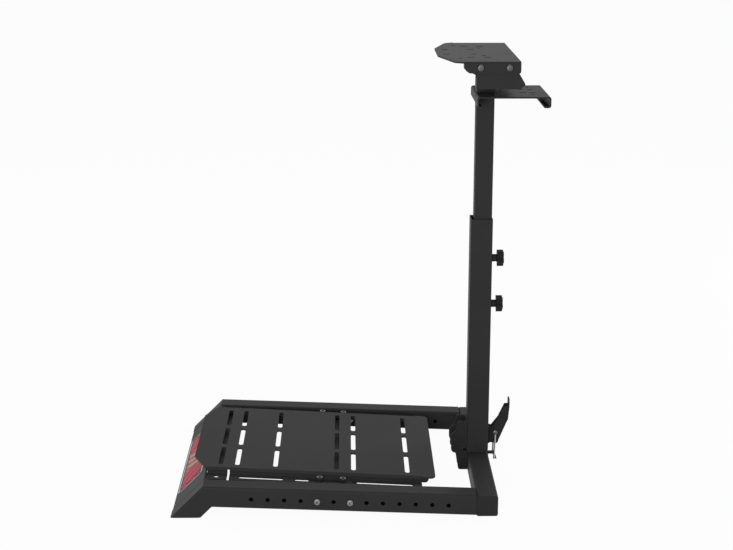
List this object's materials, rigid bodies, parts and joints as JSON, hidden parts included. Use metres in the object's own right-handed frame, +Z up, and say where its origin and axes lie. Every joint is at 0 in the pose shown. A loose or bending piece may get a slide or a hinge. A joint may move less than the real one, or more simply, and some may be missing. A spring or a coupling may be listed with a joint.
{
  "type": "racing wheel stand",
  "caption": "Folding floor stand for a game steering wheel: tilted tube base with slotted pedal tray, telescopic post on a latched hinge, shifter plate and slotted wheel plate.",
  "frame": {"origin": "middle of the bounding box at floor level", "axes": "+X to the driver, +Y to the far side in the picture, +Z up"},
  "size_m": [0.704, 0.48, 0.83],
  "materials": {
    "black_coat": "semi-gloss black powder coat",
    "black_plastic": "black moulded plastic",
    "steel": "zinc-plated steel",
    "bright_wire": "bright plated wire"
  },
  "bodies": {
    "base": {"near_rail": "black_coat", "far_rail": "black_coat", "front_member": "black_coat", "rear_bar": "black_coat", "bar_cap_near": "black_plastic", "bar_cap_far": "black_plastic", "pedal_tray": "black_coat", "tray_channel_front": "black_coat", "tray_channel_rear": "black_coat", "tray_bracket_near": "black_coat", "tray_bracket_far": "black_coat", "hinge_base": "black_coat", "hinge_pin": "steel", "latch_catch": "black_coat"},
    "post": {"hinge_leaf": "black_coat", "lower_tube": "black_coat", "clamp_boss_upper": "black_coat", "clamp_boss_lower": "black_coat", "latch_base": "black_coat"},
    "mast": {"upper_tube": "black_coat", "shifter_plate": "black_coat", "wheel_bracket": "black_coat", "wheel_plate": "black_coat"},
    "knob_upper": {"clamp_knob_upper": "black_plastic"},
    "knob_lower": {"clamp_knob_lower": "black_plastic"},
    "lever": {"latch_lever": "black_coat"},
    "bail": {"latch_bail": "bright_wire"}
  },
  "joints": [
    {"name": "post_fold", "type": "hinge", "parent": "base", "child": "post", "pos_m": [0.19, 0, 0.047], "axis": [0, -1, 0], "range_deg": [0, 85]},
    {"name": "height_slide", "type": "slide", "parent": "post", "child": "mast", "axis": [0, 0, 1], "range_m": [-0.15, 0.09]},
    {"name": "upper_clamp_turn", "type": "hinge", "parent": "post", "child": "knob_upper", "pos_m": [0.266, 0, 0.4333], "axis": [1, 0, 0], "continuous": true},
    {"name": "lower_clamp_turn", "type": "hinge", "parent": "post", "child": "knob_lower", "pos_m": [0.266, 0, 0.3417], "axis": [1, 0, 0], "continuous": true},
    {"name": "latch_lever_turn", "type": "hinge", "parent": "post", "child": "lever", "pos_m": [0.2705, 0, 0.0605], "axis": [0, 1, 0], "range_deg": [0, 95]},
    {"name": "latch_bail_swing", "type": "hinge", "parent": "lever", "child": "bail", "pos_m": [0.2698, 0, 0.0793], "axis": [0, -1, 0], "range_deg": [0, 95]}
  ],
  "couplings": [
    {"joint": "latch_bail_swing", "follows": "latch_lever_turn", "ratio": 1}
  ]
}
